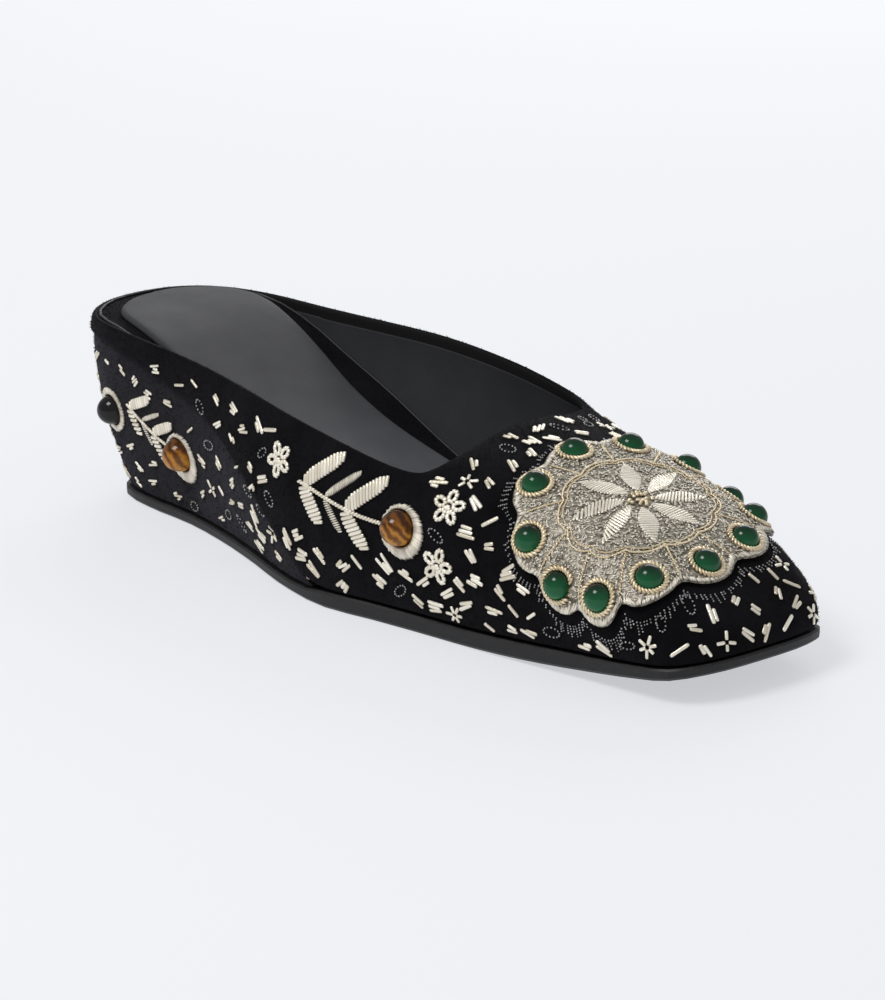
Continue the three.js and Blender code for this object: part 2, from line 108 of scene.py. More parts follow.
# Flowers of looped petals: their reach, and shares of it.
FLOWER_REACH = 4.8 * MM
FLOWER_PETALS = 5
LOOP_STITCHES = 8
LOOP_OUT = 0.62
LOOP_LONG = 0.35
LOOP_WIDE = 0.23
KNOT_BEAD = 0.6 * MM
KNOT_PLACES = [(0, 0), (0.5 * MM, 0.4 * MM), (-0.4 * MM, 0.5 * MM)]
# Flowers by the stones on the vamp: along the sprig from the stone, and above it.
FLOWER_PLACES = [(-13.5 * MM, 10.5 * MM), (-14 * MM, -6.3 * MM), (49.5 * MM, 4 * MM)]
# A sprig's leaves: how far along the stem, and whether they are of thick thread.
SPRIG_LEAVES = [(0.5, True), (0.72, False), (0.95, True)]
SPRIG_BEND = 1.2 * MM
SPRIG_TURNS = 34
STEM_WIDE = 1.7
LEAF_OPEN = math.radians(42)
LEAF_ROOT = 0.7 * MM
LEAF_PITCH = 1.02
LEAF_LEAN = 0.18
# A leaf's widths and lengths, in shares of the longest leaf.
LOWER_LEAF = 0.7
THICK_WIDE = 0.27
THIN_WIDE = 0.165
THIN_LONG = 0.85
# Each sprig's heading, length and longest leaf: two by the vamp, two by the heel.
FRONT_SPRIG = (Vector((-1, 0, 0.07)), 39.5 * MM, 16.8 * MM)
BACK_SPRIG = (Vector((-1, 0, 0.34)), 25 * MM, 11 * MM)

# Room that the scattered motifs leave round the larger ones.
BROWN_ROOM = 9 * MM
DARK_ROOM = 8 * MM
SPRIG_PARTS = (0.25, 0.5, 0.75, 1.0)
LEAF_ROOM = 0.62

# The scattered field: places tried on each square metre, how often each kind comes, and the room it needs.
FIELD_DENSITY = 9.0e5
FIELD_KINDS = ["dash"] * 17 + ["loop"] * 3 + ["spray"] * 3
FIELD_ROOM = {"dash": 2.75 * MM, "loop": 2.8 * MM, "spray": 3.3 * MM}
DASH_COUNTS = (1, 2, 2, 3)
SPRAY_ARMS = (4, 5, 6)
SPRAY_REACH = 2.8 * MM
SPRAY_START = 0.2
SPRAY_UNEVEN = (0.8, 1.15)
# Dashes, in millimetres: their length, how far they slide and lie apart; their tilt in shares of it.
DASH_LONG = (2.3, 5.8)
DASH_SLIDE = 0.8
DASH_APART = 1.1
DASH_TILT = 0.2
# Ovals of seed beads, in millimetres, and the beads' spacing in radii.
LOOP_LONG_RADIUS = (2.0, 2.9)
LOOP_WIDE_RADIUS = (0.9, 1.5)
LOOP_SPACING = 3.0
# Faces that look further down than this stay bare.
LOWEST_FACING = -0.75
# Bare velvet next to the sole, the medallion and the rim of the shoe, wider round the heel.
SOLE_CLEAR = 3.2 * MM
MEDALLION_CLEAR = 5.0 * MM
RIM_CLEAR = 5.5 * MM
HEEL_CLEAR = 10.5 * MM
HEEL_FIELD = -80 * MM
# Behind this place the wedge shows, and the scattered motifs are smaller and further apart.
WEDGE_END = -30 * MM
WEDGE_ROOM = 0.35 * MM
WEDGE_SIZE = 0.78

# The velvet's pile: how many fibres, their size, how they vary and lean, and how far down they grow.
UPPER_PILE = 38000
WEDGE_PILE = 14000
PILE_LONG = 0.55 * MM
PILE_THICK = 0.075 * MM
PILE_UNEVEN = (0.6, 1.3)
PILE_SPREAD = 0.42
PILE_LEAN = np.array([-0.15, 0, -0.25])
PILE_LOWEST = -0.6
# A fibre's faces: corners 0 to 2 are its root, 3 is its tip.
FIBRE_FACES = ((0, 1, 3), (1, 2, 3), (2, 0, 3), (0, 2, 1))

# How far the velvet turns in over the topline.
TURN_IN = 3.2 * MM

# The medallion: half its reach over the vamp, where its middle lies (minus is the outer side), its lobes.
MEDALLION_WIDE = 40.8 * MM
MEDALLION_SIDE = -4.4 * MM
LOBES = 12
LOBE_DEPTH = 0.11
LOBE_ROUND = 0.7
# Outlines across the vamp that measure the medallion: how many, how far past its ends, and their rays.
COLUMNS = 34
COLUMN_ROOM = 4 * MM
COLUMN_HIGH = 12 * MM
COLUMN_FAR = 0.15
COLUMN_SPAN = 112
COLUMN_STEP = 2
# Work on the medallion, its places in shares of the radius.
EDGE_STITCHES = LOBES * 44
EDGE_INNER = (0.895, 0.935)
EDGE_OUTER = (0.985, 1.01)
EDGE_SWAY = 0.008
OUTER_LINE = 0.60
OUTER_LINE_TURNS = 260
INNER_LINE = 0.565
INNER_LINE_TURNS = 250
SPOKE_START = 0.62
SPOKE_END = 0.92
SPOKE_TURNS = 14
PETALS = 8
PETAL_ROWS = 15
PETAL_START = 0.13
PETAL_LONG = 0.38
PETAL_WIDE = 0.30
PETAL_SLANT = 0.02
MIDDLE_BEADS = 26
MIDDLE_REACH = 0.105
MIDDLE_BEAD = 0.6 * MM
SEED_STITCHES = 5400
SEED_FIELD = (0.012, 0.86)
SEED_WIDE = 0.42 * MM
SEED_TALL = 0.36 * MM
SEED_HALF = (0.4, 0.7)
SEED_CLEAR = 4.6 * MM
# Dots that stand out from the medallion's edge: rays, dots on a ray, and their places.
FRINGE_RAYS = LOBES * 15
FRINGE_DOTS = (2, 5)
FRINGE_START = 1.04
FRINGE_STEP = 0.017
FRINGE_SWAY = 0.004
FRINGE_BEAD = 0.26 * MM

# Stones: their nodes, radii and heights, the share of the height that is sunk into the seat, and the
# angle from which their backs' edges stay crisp.
GREEN_STONES = [f"green_stone_{i + 1}" for i in range(LOBES)]
BROWN_STONES = [f"brown_stone_{i + 1}" for i in range(4)]
GREEN_RADIUS = 3.6 * MM
GREEN_TALL = 3.4 * MM
BROWN_RADIUS = 4.75 * MM
BROWN_TALL = 5.5 * MM
DARK_RADIUS = 4.2 * MM
DARK_TALL = 4.6 * MM
STONE_SUNK = 0.12
STONE_SHARP = math.radians(60)
# The side of a stone that painted glow makes brighter, as if light shone through it.
GLOW_SIDE = Vector((0.35, -0.35, -0.87))

# How a solid's loose triangles are merged, and joined into four-sided faces.
MERGE_GAP = 0.01 * MM
JOIN_FLAT = math.radians(40)
JOIN_SQUARE = math.radians(80)
# Edges sharper than these stay crisp, and the sock's are rounded.
WEDGE_SHARP = math.radians(32)
OUTSOLE_SHARP = math.radians(30)
FOOTBED_SHARP = math.radians(40)
SOCK_RIM = math.radians(50)
SOCK_ROUND = 0.7 * MM

# A line inside the shoe, from heel to toe, that tells lining from velvet.
FOOT_END_ROOM = 45 * MM
FOOT_SIDE = 1.5 * MM
HEEL_PART = 0.2
BALL_PART = 0.5
HEEL_HIGH = 60 * MM
FOOT_HIGH = 42 * MM
TOE_DROP = 24 * MM
LOOKS_IN = 0.25
# A closed edge of the lining with fewer corners than this isn't a rim.
SHORTEST_RIM = 60

# The bead where the lining meets the footbed: its size, and which edges carry it.
BEAD_WIDE = 0.9 * MM
BEAD_TALL = 0.8 * MM
BEAD_OVERLAP = 0.56
BEAD_EDGE_SHORTEST = 0.5 * MM
BEAD_TOP_FACING = 0.6
BEAD_SIDE_FACING = 0.45

# Floor and soft lights: place, size in metres, power in watts.
FLOOR_HALF = 12
LIGHT_TARGET = Vector((0, 0, 0.02))
KEY_SOFTBOX = ((-0.10, -0.80, 1.25), (0.62, 0.5), 10.8)
BACK_SOFTBOX = ((-0.70, 0.95, 0.62), (0.9, 0.6), 5.5)
ROOM_COLOUR = (0.97, 0.98, 1.0, 1)
ROOM_STRENGTH = 0.45


# Finishes

def new_finish(name, **values):
    finish = bpy.data.materials.new(name)
    finish.use_nodes = True
    tree = finish.node_tree
    shader = tree.nodes["Principled BSDF"]
    for socket, value in values.items():
        shader.inputs[socket.replace("_", " ")].default_value = value
    return finish, tree, shader


def new_node(tree, kind, values=None, **settings):
    node = tree.nodes.new(kind)
    for name, value in settings.items():
        setattr(node, name, value)
    for socket, value in (values or {}).items():
        node.inputs[socket].default_value = value
    return node


def object_place(tree):
    return new_node(tree, "ShaderNodeTexCoord").outputs["Object"]


def noise(tree, scale, detail=3.0, rough=0.55, stretch=None):
    node = new_node(tree, "ShaderNodeTexNoise", {"Scale": scale, "Detail": detail, "Roughness": rough})
    place = object_place(tree)
    if stretch:
        mapping = new_node(tree, "ShaderNodeMapping", {"Scale": stretch})
        tree.links.new(place, mapping.inputs["Vector"])
        place = mapping.outputs["Vector"]
    tree.links.new(place, node.inputs["Vector"])
    return node.outputs["Fac"]


def ramp(tree, source, low, high, low_colour, high_colour):
    node = new_node(tree, "ShaderNodeValToRGB")
    first, last = node.color_ramp.elements
    first.position = low
    last.position = high
    first.color = (*low_colour, 1)
    last.color = (*high_colour, 1)
    tree.links.new(source, node.inputs["Fac"])
    return node.outputs["Color"]


def spread(tree, source, low, high, start=0.0, end=1.0, curve="LINEAR"):
    """A number that goes from low to high while its source goes from start to end."""
    node = new_node(tree, "ShaderNodeMapRange", interpolation_type=curve, values={
        "From Min": start, "From Max": end, "To Min": low, "To Max": high})
    tree.links.new(source, node.inputs["Value"])
    return node.outputs["Result"]


def scaled(tree, colour, amount):
    node = new_node(tree, "ShaderNodeVectorMath", operation="SCALE")
    tree.links.new(colour, node.inputs[0])
    tree.links.new(amount, node.inputs["Scale"])
    return node.outputs["Vector"]


def attribute(tree, name):
    return new_node(tree, "ShaderNodeAttribute", attribute_name=name).outputs["Fac"]


def bump(tree, shader, source, strength, distance, under=None):
    node = new_node(tree, "ShaderNodeBump", {"Strength": strength, "Distance": distance})
    tree.links.new(source, node.inputs["Height"])
    if under:
        tree.links.new(under, node.inputs["Normal"])
    tree.links.new(node.outputs["Normal"], shader.inputs["Normal"])
    return node.outputs["Normal"]


def velvet_finish(name, sheen, tint):
    finish, tree, shader = new_finish(
        name, Sheen_Weight=sheen, Sheen_Roughness=0.5, Sheen_Tint=(*tint, 1), Specular_IOR_Level=0.06)
    lay = noise(tree, 70, 4, 0.6)
    tree.links.new(ramp(tree, lay, 0.32, 0.7, (0.0020, 0.0018, 0.0023), (0.0060, 0.0054, 0.0068)),
                   shader.inputs["Base Color"])
    tree.links.new(spread(tree, lay, 0.98, 0.8), shader.inputs["Roughness"])
    soft = bump(tree, shader, noise(tree, 160, 3), 0.18, 0.0012)
    bump(tree, shader, noise(tree, 2600, 2), 0.7, 0.0004, soft)
    return finish


def leather_finish(name, low, high, gloss):
    """Smooth leather, with painted light that makes it lighter towards the front of the shoe, where the
    walls shade it.
    """
    finish, tree, shader = new_finish(name, Specular_IOR_Level=0.2)
    sides = new_node(tree, "ShaderNodeSeparateXYZ")
    tree.links.new(object_place(tree), sides.inputs["Vector"])
    # Painted light: the colour grows lighter towards the front, where the walls shade the sock.
    painted_light = spread(tree, sides.outputs["X"], 1.55, 3.4, -0.055, -0.015, "SMOOTHSTEP")
    colour = ramp(tree, noise(tree, 34, 4), 0.35, 0.68, low, high)
    tree.links.new(scaled(tree, colour, painted_light), shader.inputs["Base Color"])
    tree.links.new(spread(tree, noise(tree, 120, 3), gloss, gloss + 0.14), shader.inputs["Roughness"])
    cells = new_node(tree, "ShaderNodeTexVoronoi", {"Scale": 1500.0}, feature="DISTANCE_TO_EDGE")
    tree.links.new(object_place(tree), cells.inputs["Vector"])
    waves = bump(tree, shader, noise(tree, 40, 2), 0.12, 0.0012)
    bump(tree, shader, cells.outputs["Distance"], 0.16, 0.0003, waves)
    return finish


def lining_finish():
    """Lining leather below a turned-in edge of velvet along the topline."""
    finish, tree, shader = new_finish("grey_lining_leather", Specular_IOR_Level=0.3)
    share = spread(tree, attribute(tree, "rim_gap"), 0.0, 1.0, TURN_IN - 0.15 * MM, TURN_IN + 0.15 * MM)
    leather = ramp(tree, noise(tree, 34, 4), 0.35, 0.68, (0.028, 0.0288, 0.0304), (0.040, 0.0411, 0.0436))
    mixed = new_node(tree, "ShaderNodeMix", data_type="RGBA")
    mixed.inputs["A"].default_value = (0.0035, 0.0032, 0.0040, 1)
    tree.links.new(share, mixed.inputs["Factor"])
    tree.links.new(leather, mixed.inputs["B"])
    tree.links.new(mixed.outputs["Result"], shader.inputs["Base Color"])
    tree.links.new(spread(tree, share, 0.95, 0.46), shader.inputs["Roughness"])
    step = bump(tree, shader, share, 0.6, 0.0008)
    bump(tree, shader, noise(tree, 1500, 2), 0.12, 0.0003, step)
    return finish


def outsole_finish():
    finish, tree, shader = new_finish("black_outsole", Specular_IOR_Level=0.4)
    scuff = noise(tree, 300, 5, 0.7, (1, 1, 4))
    tree.links.new(ramp(tree, scuff, 0.4, 0.75, (0.006, 0.006, 0.0065), (0.016, 0.0155, 0.016)),
                   shader.inputs["Base Color"])
    tree.links.new(spread(tree, scuff, 0.42, 0.62), shader.inputs["Roughness"])
    bump(tree, shader, noise(tree, 1400, 2, 0.6, (0.3, 0.3, 2)), 0.2, 0.0003)
    return finish


def thread_finish(name, low, high, metal, rough):
    """Thread whose stitches carry painted shade, dimmer towards the cloth they lie on."""
    finish, tree, shader = new_finish(name, Metallic=metal, Roughness=rough)
    # Painted shade: each stitch is dimmed on its flanks and underside by the height of its corners.
    painted_shade = spread(tree, attribute(tree, "lift"), 0.22, 1.08, -0.4, 0.7)
    colour = ramp(tree, attribute(tree, "tone"), 0.0, 1.0, low, high)
    tree.links.new(scaled(tree, colour, painted_shade), shader.inputs["Base Color"])
    bump(tree, shader, noise(tree, 2600, 2), 0.5, 0.00025)
    return finish


def thread_ground_finish():
    finish, tree, shader = new_finish("worked_ground", Metallic=0.4, Roughness=0.45)
    speckle = noise(tree, 750, 2, 0.6)
    tree.links.new(ramp(tree, speckle, 0.38, 0.64, (0.10, 0.085, 0.06), (0.46, 0.42, 0.34)),
                   shader.inputs["Base Color"])
    bump(tree, shader, speckle, 0.9, 0.0005)
    return finish


def glowing(tree, grain, share):
    """Painted glow through a stone, broken up by its grain."""
    mixed = new_node(tree, "ShaderNodeMix", {"Factor": share})
    tree.links.new(attribute(tree, "glow"), mixed.inputs["A"])
    tree.links.new(grain, mixed.inputs["B"])
    return mixed.outputs["Result"]


def new_stone(name):
    """A polished stone whose surface carries the highlight; the light going into it is painted as glow in
    its colour.
    """
    return new_finish(name, Roughness=0.3, Specular_IOR_Level=0.02, Coat_Weight=0.6, Coat_Roughness=0.06)


def stone_finish(name, low, high, scale):
    finish, tree, shader = new_stone(name)
    tone = glowing(tree, noise(tree, scale, 5, 0.6), 0.3)
    tree.links.new(ramp(tree, tone, 0.22, 0.85, low, high), shader.inputs["Base Color"])
    return finish


def banded_stone_finish():
    finish, tree, shader = new_stone("brown_banded_stone")
    waves = new_node(tree, "ShaderNodeTexWave",
                     {"Scale": 150.0, "Distortion": 5.0, "Detail": 3.0, "Detail Scale": 2.0},
                     bands_direction="DIAGONAL")
    tree.links.new(object_place(tree), waves.inputs["Vector"])
    bands = new_node(tree, "ShaderNodeValToRGB")
    stops = [
        (0.0, (0.013, 0.004, 0.0006)),
        (0.36, (0.064, 0.019, 0.0017)),
        (0.62, (0.20, 0.068, 0.007)),
        (0.9, (0.55, 0.24, 0.031)),
    ]
    elements = bands.color_ramp.elements
    while len(elements) < len(stops):
        elements.new(0.5)
    for element, (place, colour) in zip(elements, stops):
        element.position = place
        element.color = (*colour, 1)
    tree.links.new(glowing(tree, waves.outputs["Fac"], 0.36), bands.inputs["Fac"])
    tree.links.new(bands.outputs["Color"], shader.inputs["Base Color"])
    return finish


VELVET = velvet_finish("black_velvet", 0.09, (0.25, 0.24, 0.26))
WEDGE_VELVET = velvet_finish("brushed_black_velvet", 0.32, (0.25, 0.25, 0.29))
SOCK_LEATHER = leather_finish("grey_sock_leather", (0.024, 0.0245, 0.0265), (0.033, 0.0335, 0.0365), 0.55)
LINING_LEATHER = lining_finish()
OUTSOLE = outsole_finish()
PALE_THREAD = thread_finish("pale_gold_thread", (0.50, 0.42, 0.28), (0.95, 0.90, 0.78), 0.55, 0.3)
FINE_THREAD = thread_finish("silver_gold_thread", (0.40, 0.36, 0.28), (0.88, 0.82, 0.71), 0.45, 0.4)
GOLD_THREAD = thread_finish("gold_twist", (0.44, 0.31, 0.15), (0.86, 0.74, 0.52), 0.6, 0.33)
WORKED_GROUND = thread_ground_finish()
BEAD_SILVER = thread_finish("silver_beads", (0.20, 0.20, 0.20), (0.62, 0.61, 0.60), 0.6, 0.3)
GREEN_STONE = stone_finish("green_stone", (0.0002, 0.0055, 0.0013), (0.0045, 0.130, 0.041), 150)
BROWN_STONE = banded_stone_finish()
DARK_STONE = stone_finish("dark_stone", (0.0020, 0.0020, 0.0025), (0.0080, 0.0070, 0.0070), 160)


# Pieces carried over from the solids

def show(mesh, name, slot, *finishes):
    piece = bpy.data.objects.new(name, mesh)
    bpy.context.scene.collection.objects.link(piece)
    for finish in finishes:
        mesh.materials.append(finish)
    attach(piece, BODY)
    return piece


def merged_copy(node):
    """The node's solid as one closed mesh of mostly four-sided faces."""
    work = bmesh.new()
    work.from_mesh(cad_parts[node].data)
    bmesh.ops.remove_doubles(work, verts=work.verts, dist=MERGE_GAP)
    bmesh.ops.join_triangles(work, faces=work.faces, angle_face_threshold=JOIN_FLAT,
                             angle_shape_threshold=JOIN_SQUARE)
    return work


def to_mesh(work, name, sharp=math.radians(180)):
    mesh = bpy.data.meshes.new(name)
    for edge in work.edges:
        edge.smooth = edge.calc_face_angle(0) < sharp
    for face in work.faces:
        face.smooth = True
    work.to_mesh(mesh)
    work.free()
    return mesh


def rounded(piece, levels):
    """Finish a piece with a subdivision surface, kept as plain mesh."""
    smooth = piece.modifiers.new("smooth", "SUBSURF")
    smooth.levels = levels
    smooth.render_levels = levels
    shaped = bpy.data.meshes.new_from_object(piece.evaluated_get(bpy.context.evaluated_depsgraph_get()))
    piece.modifiers.clear()
    shaped.name = piece.name
    piece.data = shaped
    return piece


def faces_inside(face):
    """True for the faces of the upper that look at the foot."""
    low, high = CAD_BOX
    centre = face.calc_center_median()
    axis_x = min(max(centre.x, low.x + FOOT_END_ROOM), high.x - FOOT_END_ROOM)
    ahead = (centre.x - low.x) / (high.x - low.x)
    drop = TOE_DROP * max(0.0, ahead - BALL_PART) / (1 - BALL_PART)
    axis_z = HEEL_HIGH if ahead < HEEL_PART else FOOT_HIGH - drop
    towards = Vector((axis_x, FOOT_SIDE, axis_z)) - centre
    return face.normal.dot(towards.normalized()) > LOOKS_IN


def lining_loops(upper):
    """The closed edges where velvet meets lining, highest one first."""
    work = bmesh.new()
    work.from_mesh(upper.data)
    seams = [edge for edge in work.edges if len({face.material_index for face in edge.link_faces}) == 2]
    beside = {}
    for edge in seams:
        first, last = edge.verts
        beside.setdefault(first, []).append(last)
        beside.setdefault(last, []).append(first)
    loops = []
    while beside:
        corner = next(iter(beside))
        loop = []
        while corner:
            loop.append(corner.co.copy())
            following = [other for other in beside.pop(corner) if other in beside]
            corner = following[0] if following else None
        loops.append(loop)
    work.free()
    loops = [loop for loop in loops if len(loop) > SHORTEST_RIM]
    return sorted(loops, key=lambda loop: -sum(place.z for place in loop) / len(loop))


def topline_tree(loop):
    """A closed line as a tree to measure distances from."""
    steps = 6
    places = []
    for first, last in zip(loop, loop[1:] + loop[:1]):
        places.extend(first.lerp(last, k / steps) for k in range(steps))
    tree = KDTree(len(places))
    for i, place in enumerate(places):
        tree.insert(place, i)
    tree.balance()
    return tree


def make_upper():
    work = merged_copy("upper")
    work.normal_update()
    for face in work.faces:
        face.material_index = 1 if faces_inside(face) else 0
    piece = show(to_mesh(work, "velvet_upper"), "velvet_upper", "velvet", VELVET, LINING_LEATHER)
    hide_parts("upper")
    rounded(piece, 2)
    topline = topline_tree(lining_loops(piece)[0])
    gaps = [topline.find(vertex.co)[2] for vertex in piece.data.vertices]
    piece.data.attributes.new("rim_gap", "FLOAT", "POINT").data.foreach_set("value", gaps)
    return piece, topline


def make_wedge():
    mesh = to_mesh(merged_copy("wedge"), "velvet_wedge", WEDGE_SHARP)
    piece = show(mesh, "velvet_wedge", "velvet", WEDGE_VELVET)
    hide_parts("wedge")
    return piece


def make_outsole():
    mesh = to_mesh(merged_copy("outsole"), "outsole_plate", OUTSOLE_SHARP)
    piece = show(mesh, "outsole_plate", "outsole", OUTSOLE)
    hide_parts("outsole")
    return piece


def make_footbed():
    mesh = to_mesh(merged_copy("footbed"), "velvet_footbed", FOOTBED_SHARP)
    piece = show(mesh, "velvet_footbed", "velvet", VELVET)
    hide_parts("footbed")
    return piece


def make_sock():
    work = merged_copy("sock")
    work.normal_update()
    rim = [edge for edge in work.edges if edge.calc_face_angle(0) > SOCK_RIM]
    bmesh.ops.bevel(work, geom=rim, offset=SOCK_ROUND, offset_type="OFFSET", segments=3, profile=0.5,
                    affect="EDGES", material=-1)
    piece = show(to_mesh(work, "leather_sock"), "leather_sock", "sock_leather", SOCK_LEATHER)
    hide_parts("sock")
    return rounded(piece, 1)


def make_medallion():
    mesh = to_mesh(merged_copy("medallion"), "medallion_ground")
    piece = show(mesh, "medallion_ground", "thread", WORKED_GROUND)
    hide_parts("medallion")
    return rounded(piece, 1)


# Laying thread on the shoe

class Surface:
    """Meshes of the dressed shoe as one surface that thread can be laid on."""

    def __init__(self, *pieces):
        places = []
        faces = []
        self.lining = []
        for piece in pieces:
            start = len(places)
            places.extend(vertex.co.copy() for vertex in piece.data.vertices)
            for polygon in piece.data.polygons:
                faces.append([start + i for i in polygon.vertices])
                self.lining.append(polygon.material_index == 1)
        self.tree = BVHTree.FromPolygons(places, faces)

    def nearest(self, place):
        point, normal, _, _ = self.tree.find_nearest(place)
        return point, normal

    def from_outside(self, origin, direction):
        point, normal, index, _ = self.tree.ray_cast(origin, direction)
        return point, normal, index is not None and not self.lining[index]

    def gap(self, place):
        return self.tree.find_nearest(place)[3]


class Seat:
    """A place on a surface with its own flat coordinates: along, across and out of the surface."""

    def __init__(self, surface, place, heading):
        self.surface = surface
        self.point, self.normal = surface.nearest(place)
        self.along = (heading - self.normal * heading.dot(self.normal)).normalized()
        self.across = self.normal.cross(self.along)

    def lay(self, along, across):
        return self.surface.nearest(self.point + self.along * along + self.across * across)


class ThreadWork:
    """Many copies of one small shape, gathered and then joined into one mesh."""

    def __init__(self, shape):
        self.shape = shape
        self.places = []
        self.tones = []

    def put(self, point, along, normal, size, tone):
        along = (along - normal * along.dot(normal)).normalized()
        across = normal.cross(along)
        turn = np.array((along, across, normal)).T
        self.places.append((turn * np.array(size), np.array(point)))
        self.tones.append(tone)

    def join(self, name, slot, finish):
        corners = np.array([vertex.co for vertex in self.shape.vertices])
        faces = [list(polygon.vertices) for polygon in self.shape.polygons]
        count = len(corners)
        spots = np.concatenate([corners @ turn.T + point for turn, point in self.places])
        loops = [[i + count * k for i in face] for k in range(len(self.places)) for face in faces]
        mesh = bpy.data.meshes.new(name)
        mesh.from_pydata(spots.tolist(), [], loops)
        mesh.polygons.foreach_set("use_smooth", np.ones(len(mesh.polygons), dtype=bool))
        tone = mesh.attributes.new("tone", "FLOAT", "POINT")
        tone.data.foreach_set("value", np.repeat(np.array(self.tones), count))
        # Each corner's height in its stitch, which the thread finishes turn into painted shade.
        lift = mesh.attributes.new("lift", "FLOAT", "POINT")
        lift.data.foreach_set("value", np.tile(corners[:, 2], len(self.places)))
        return show(mesh, name, slot, finish)


def purl_shape():
    """A short length of coiled thread along X, two units long, with rounded ends."""
    sides = 8
    work = bmesh.new()
    bmesh.ops.create_cone(work, cap_ends=True, segments=sides, radius1=1, radius2=1, depth=2,
                          matrix=Matrix.Rotation(math.radians(90), 4, "Y"))
    ends = [edge for edge in work.edges if any(len(face.verts) == sides for face in edge.link_faces)]
    bmesh.ops.bevel(work, geom=ends, offset=0.35, offset_type="OFFSET", segments=2, profile=0.5,
                    affect="EDGES", material=-1)
    return to_mesh(work, "purl")


def bead_shape(sides, rings):
    """A bead, and when it is stretched a fine stitch."""
    work = bmesh.new()
    bmesh.ops.create_uvsphere(work, u_segments=sides, v_segments=rings, radius=1)
    return to_mesh(work, "bead")


PURL = purl_shape()
SMALL_BEAD = bead_shape(sides=6, rings=4)
SEED_STITCH = bead_shape(sides=5, rings=3)


def tone_near(middle, reach=0.25):
    return min(max(middle + draw.uniform(-reach, reach), 0.0), 1.0)


def stitch(work, start, end, normal, wide, tall, tone):
    along = end - start
    size = (along.length / 2, wide / 2, tall / 2)
    work.put((start + end) / 2 + normal * (tall * STITCH_LIFT), along, normal, size, tone)


def stitch_on(work, seat, start, end, wide, tall, tone):
    """A stitch between two places given in a seat's own coordinates."""
    first, normal_first = seat.lay(*start)
    last, normal_last = seat.lay(*end)
    stitch(work, first, last, (normal_first + normal_last).normalized(), wide, tall, tone)


def bead_on(work, seat, place, radius, tone):
    point, normal = seat.lay(*place)
    work.put(point + normal * radius * BEAD_LIFT, seat.along, normal, (radius, radius, radius), tone)


def twist(work, points, wide, tone):
    """A twisted cord along points with normals, as short slanted turns."""
    for (first, normal), (last, _) in zip(points, points[1:]):
        along = last - first
        slant = (along.normalized() + normal.cross(along).normalized() * CORD_SLANT).normalized()
        half = along.length * CORD_TURN
        middle = (first + last) / 2
        stitch(work, middle - slant * half, middle + slant * half, normal, wide, wide, tone_near(tone, 0.18))


def ring_places(long_radius, wide_radius, count):
    turns = [2 * math.pi * i / count for i in range(count)]
    return [(long_radius * math.cos(turn), wide_radius * math.sin(turn)) for turn in turns]


def coiled_ring(work, seat, radius, wide, tone):
    """A ring of thick coiled wire, couched down round a stone, each turn slanted."""
    pitch = wide * COIL_PITCH
    count = int(2 * math.pi * radius / pitch)
    half = wide * COIL_HALF
    for along, across in ring_places(1, 1, count):
        ahead = (-across * half, along * half)
        aside = (along * half, across * half)
        middle = (radius * along, radius * across)
        stitch_on(work, seat, (middle[0] - ahead[0] - aside[0], middle[1] - ahead[1] - aside[1]),
                  (middle[0] + ahead[0] + aside[0], middle[1] + ahead[1] + aside[1]),
                  pitch, wide * COIL_TALL, tone_near(tone, 0.25))


def satin_ring(work, seat, inner, outer, shift, tone):
    """Padded satin stitches round a stone; their outer edge may lie off the stone's middle."""
    count = int(2 * math.pi * outer / (FINE_WIDE * SATIN_PITCH))
    for along, across in ring_places(1, 1, count):
        reach = outer * draw.uniform(*SATIN_UNEVEN)
        start = (inner * along, inner * across)
        end = (reach * along + shift[0], reach * across + shift[1])
        stitch_on(work, seat, start, end, FINE_WIDE, FINE_TALL * SATIN_TALL, tone_near(tone, 0.3))


def satin_leaf(work, seat, root, angle, length, wide, thread, tone):
    """A leaf of slanted stitches side by side, from its root to its rounded end."""
    count = int(length / (thread * LEAF_PITCH))
    ahead = (math.cos(angle), math.sin(angle))
    aside = (-ahead[1], ahead[0])
    lean = LEAF_LEAN * wide
    for row in range(count):
        part = (row + 0.5) / count
        half = wide * 0.5 * min(1.0, 0.6 + 2.0 * part, 0.55 + 2.2 * (1 - part))
        middle = (root[0] + ahead[0] * length * part, root[1] + ahead[1] * length * part)
        start = [middle[k] - aside[k] * half - ahead[k] * lean for k in (0, 1)]
        end = [middle[k] + aside[k] * half + ahead[k] * lean for k in (0, 1)]
        stitch_on(work, seat, start, end, thread, thread * 0.95, tone_near(tone, 0.22))


def sprig(purls, fine, cords, seat, length, leaf):
    """A stem that runs away from the stone, with pairs of leaves that open towards the stone."""
    stem = []
    for k in range(SPRIG_TURNS + 1):
        stem.append((length * k / SPRIG_TURNS, SPRIG_BEND * math.sin(1.3 * math.pi * k / SPRIG_TURNS)))
    twist(cords, [seat.lay(*place) for place in stem], CORD_WIDE * STEM_WIDE, 0.7)
    for part, thick in SPRIG_LEAVES:
        root = stem[round(part * SPRIG_TURNS)]
        for side in (-1, 1):
            start = (root[0], root[1] + side * LEAF_ROOT)
            angle = side * (math.pi - LEAF_OPEN)
            reach = leaf if seat.across.z * side > 0 else leaf * LOWER_LEAF
            if thick:
                satin_leaf(purls, seat, start, angle, reach, leaf * THICK_WIDE, STITCH_WIDE * 0.92, 0.78)
            else:
                reach = reach * THIN_LONG
                satin_leaf(fine, seat, start, angle, reach, leaf * THIN_WIDE, FINE_WIDE * 1.2, 0.6)


